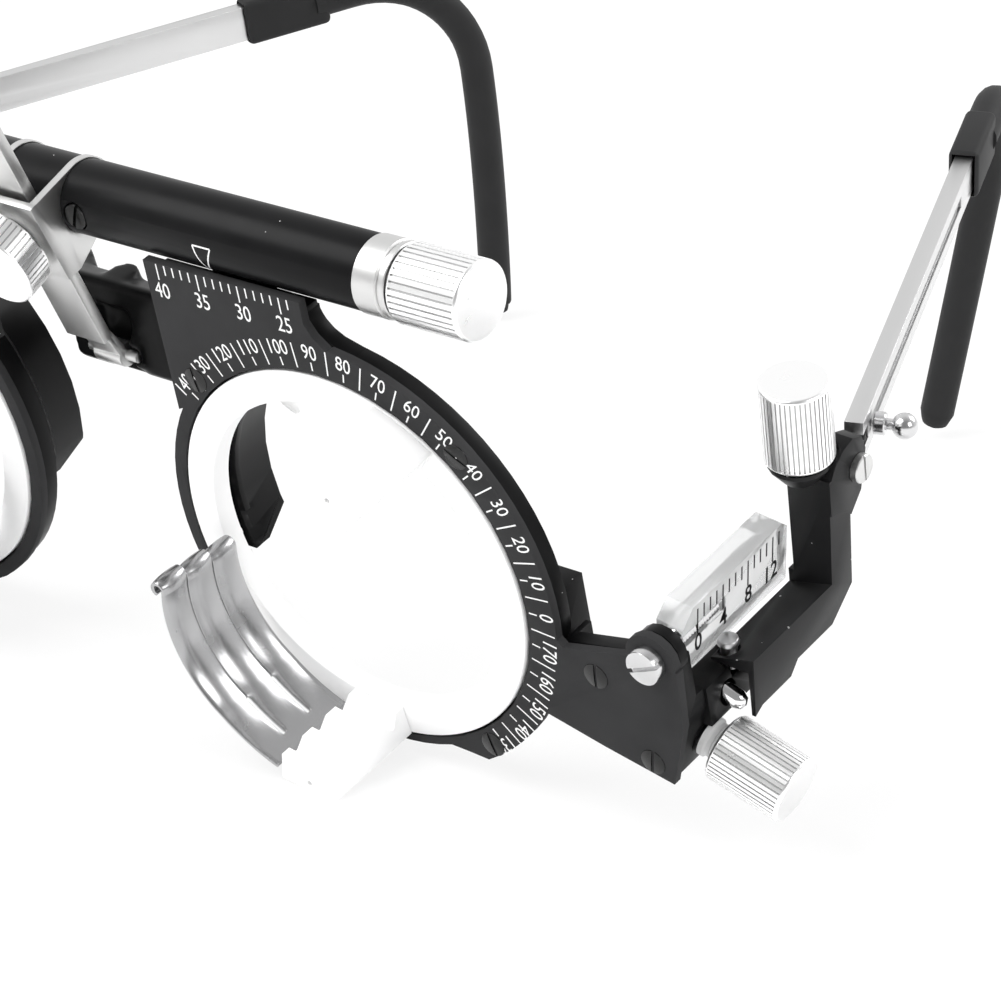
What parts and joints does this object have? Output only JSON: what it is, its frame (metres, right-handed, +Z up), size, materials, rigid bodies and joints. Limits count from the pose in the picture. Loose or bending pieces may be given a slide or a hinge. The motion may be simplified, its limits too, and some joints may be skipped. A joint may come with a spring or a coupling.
{
  "type": "optical trial frame",
  "caption": "Adjustable optician frame for loose trial lenses: sliding cells on a slotted tube, geared lens rings, a sliding nose rest and hinged temples with ear hooks.",
  "frame": {"origin": "middle of the bounding box, at the surface the frame lies on", "axes": "+Z up, +Y from the lens cells towards the ear hooks, +X towards the viewer's right when the printed plates are faced"},
  "size_m": [0.1554, 0.1196, 0.0663],
  "materials": {
    "anodised": "satin black anodised",
    "nickel": "satin nickel plate",
    "knob": "bright satin plate",
    "steel": "turned",
    "plate": "matte dark grey with white print",
    "moulding": "fine texture",
    "white": "satin",
    "chrome": "polished",
    "clear": "clear acrylic",
    "silicone": "matte"
  },
  "bodies": {
    "crossbar": {"crossbar_tube": "anodised", "centre_plug": "steel", "bridge_bracket": "nickel", "tube_screw_right": "anodised", "tube_screw_left": "anodised", "pd_collar_right": "nickel", "pd_collar_left": "nickel"},
    "nose_rest": {"nose_bar": "nickel"},
    "nose_seat": {"nose_saddle": "moulding", "nose_pad_right": "silicone", "nose_pad_left": "silicone"},
    "nose_clamp": {"nose_clamp_knob": "knob", "nose_clamp_screw": "steel"},
    "cell_right": {"scale_plate_right": "plate", "cell_housing_right": "moulding", "carriage_right": "steel", "detent_pin_right": "chrome", "vertex_scale_right": "clear", "scale_screw_right": "chrome", "temple_bracket_right": "moulding", "bracket_screw_right": "chrome", "hinge_pin_right": "chrome"},
    "pd_drive_right": {"pd_knob_right": "knob", "lead_screw_right": "steel"},
    "lens_cell_right": {"lens_ring_right": "white", "lower_lens_block_right": "white", "upper_lens_block_right": "white", "lens_spring_right": "chrome"},
    "axis_drive_right": {"axis_shaft_right": "steel", "axis_knob_right": "knob"},
    "temple_tilt_right": {"tilt_link_right": "moulding"},
    "tilt_drive_right": {"tilt_knob_right": "knob"},
    "temple_right": {"temple_bar_right": "knob"},
    "temple_tip_right": {"temple_core_right": "steel", "ear_hook_right": "moulding"},
    "temple_clamp_right": {"clamp_screw_right": "chrome"},
    "cell_left": {"scale_plate_left": "plate", "cell_housing_left": "moulding", "carriage_left": "steel", "detent_pin_left": "chrome", "vertex_scale_left": "clear", "scale_screw_left": "chrome", "temple_bracket_left": "moulding", "bracket_screw_left": "chrome", "hinge_pin_left": "chrome"},
    "pd_drive_left": {"pd_knob_left": "knob", "lead_screw_left": "steel"},
    "lens_cell_left": {"lens_ring_left": "white", "lower_lens_block_left": "white", "upper_lens_block_left": "white", "lens_spring_left": "chrome"},
    "axis_drive_left": {"axis_shaft_left": "steel", "axis_knob_left": "knob"},
    "temple_tilt_left": {"tilt_link_left": "moulding"},
    "tilt_drive_left": {"tilt_knob_left": "knob"},
    "temple_left": {"temple_bar_left": "knob"},
    "temple_tip_left": {"temple_core_left": "steel", "ear_hook_left": "moulding"},
    "temple_clamp_left": {"clamp_screw_left": "chrome"}
  },
  "joints": [
    {"name": "nose_bar_slide", "type": "slide", "parent": "crossbar", "child": "nose_rest", "axis": [0, -0.4664, 0.8846], "range_m": [-0.01, 0.0025]},
    {"name": "nose_saddle_tilt", "type": "hinge", "parent": "nose_rest", "child": "nose_seat", "pos_m": [-0.0015, -0.04042, 0.03408], "axis": [1, 0, 0], "range_deg": [-6, 6]},
    {"name": "nose_clamp_turn", "type": "hinge", "parent": "crossbar", "child": "nose_clamp", "pos_m": [-0.0015, -0.0527, 0.04955], "axis": [0, -0.8766, -0.4812], "range_deg": [-360, 360]},
    {"name": "pupil_slide_right", "type": "slide", "parent": "crossbar", "child": "cell_right", "axis": [1, 0, 0], "range_m": [-0.0053, 0.0067]},
    {"name": "pupil_screw_right", "type": "hinge", "parent": "crossbar", "child": "pd_drive_right", "pos_m": [0.0385, -0.04739, 0.05297], "axis": [1, 0, 0], "range_deg": [-1400, 2200]},
    {"name": "lens_turn_right", "type": "hinge", "parent": "cell_right", "child": "lens_cell_right", "pos_m": [0.0318, -0.04419, 0.02228], "axis": [0, -0.9728, -0.2317], "continuous": true},
    {"name": "axis_knob_turn_right", "type": "hinge", "parent": "cell_right", "child": "axis_drive_right", "pos_m": [0.06859, -0.03647, 0.0108], "axis": [0.9432, 0.077, -0.3231], "continuous": true},
    {"name": "temple_tilt_right", "type": "hinge", "parent": "cell_right", "child": "temple_tilt_right", "pos_m": [0.03271, -0.02235, 0.03677], "axis": [0.9978, 0.0154, -0.0645], "range_deg": [-8, 10]},
    {"name": "tilt_screw_right", "type": "hinge", "parent": "cell_right", "child": "tilt_drive_right", "pos_m": [0.07002, -0.02662, 0.03614], "axis": [0.0663, -0.2312, 0.9706], "range_deg": [-600, 480]},
    {"name": "temple_fold_right", "type": "hinge", "parent": "temple_tilt_right", "child": "temple_right", "pos_m": [0.07011, -0.01754, 0.03512], "axis": [0.0659, -0.1317, 0.9891], "range_deg": [-26.2, 13.8]},
    {"name": "temple_length_right", "type": "slide", "parent": "temple_right", "child": "temple_tip_right", "axis": [-0.3671, 0.9185, 0.1468], "range_m": [0, 0.022]},
    {"name": "temple_clamp_turn_right", "type": "hinge", "parent": "temple_tip_right", "child": "temple_clamp_right", "pos_m": [0.0692, -0.01524, 0.03548], "axis": [0.9279, 0.3727, -0.0122], "range_deg": [-360, 360]},
    {"name": "pupil_slide_left", "type": "slide", "parent": "crossbar", "child": "cell_left", "axis": [-1, 0, 0], "range_m": [-0.0023, 0.0097]},
    {"name": "pupil_screw_left", "type": "hinge", "parent": "crossbar", "child": "pd_drive_left", "pos_m": [-0.0415, -0.04739, 0.05297], "axis": [-1, 0, 0], "range_deg": [-1400, 2200]},
    {"name": "lens_turn_left", "type": "hinge", "parent": "cell_left", "child": "lens_cell_left", "pos_m": [-0.0318, -0.04419, 0.02228], "axis": [0, -0.9728, -0.2317], "continuous": true},
    {"name": "axis_knob_turn_left", "type": "hinge", "parent": "cell_left", "child": "axis_drive_left", "pos_m": [-0.06859, -0.03647, 0.0108], "axis": [-0.9432, 0.077, -0.3231], "continuous": true},
    {"name": "temple_tilt_left", "type": "hinge", "parent": "cell_left", "child": "temple_tilt_left", "pos_m": [-0.03271, -0.02235, 0.03677], "axis": [0.9978, -0.0154, 0.0645], "range_deg": [-8, 10]},
    {"name": "tilt_screw_left", "type": "hinge", "parent": "cell_left", "child": "tilt_drive_left", "pos_m": [-0.07002, -0.02662, 0.03614], "axis": [-0.0663, -0.2312, 0.9706], "range_deg": [-600, 480]},
    {"name": "temple_fold_left", "type": "hinge", "parent": "temple_tilt_left", "child": "temple_left", "pos_m": [-0.07011, -0.01754, 0.03512], "axis": [0.0659, 0.1317, -0.9891], "range_deg": [-33, 7]},
    {"name": "temple_length_left", "type": "slide", "parent": "temple_left", "child": "temple_tip_left", "axis": [0.4744, 0.8679, 0.1472], "range_m": [0, 0.022]},
    {"name": "temple_clamp_turn_left", "type": "hinge", "parent": "temple_tip_left", "child": "temple_clamp_left", "pos_m": [-0.06893, -0.01537, 0.03548], "axis": [-0.8779, 0.4789, 0.0053], "range_deg": [-360, 360]}
  ],
  "couplings": [
    {"joint": "pupil_screw_right", "follows": "pupil_slide_right", "rad_per_m": 3141.6},
    {"joint": "axis_knob_turn_right", "follows": "lens_turn_right", "ratio": -12},
    {"joint": "tilt_screw_right", "follows": "temple_tilt_right", "ratio": -57},
    {"joint": "pupil_screw_left", "follows": "pupil_slide_left", "rad_per_m": 3141.6},
    {"joint": "axis_knob_turn_left", "follows": "lens_turn_left", "ratio": -12},
    {"joint": "tilt_screw_left", "follows": "temple_tilt_left", "ratio": -57}
  ]
}
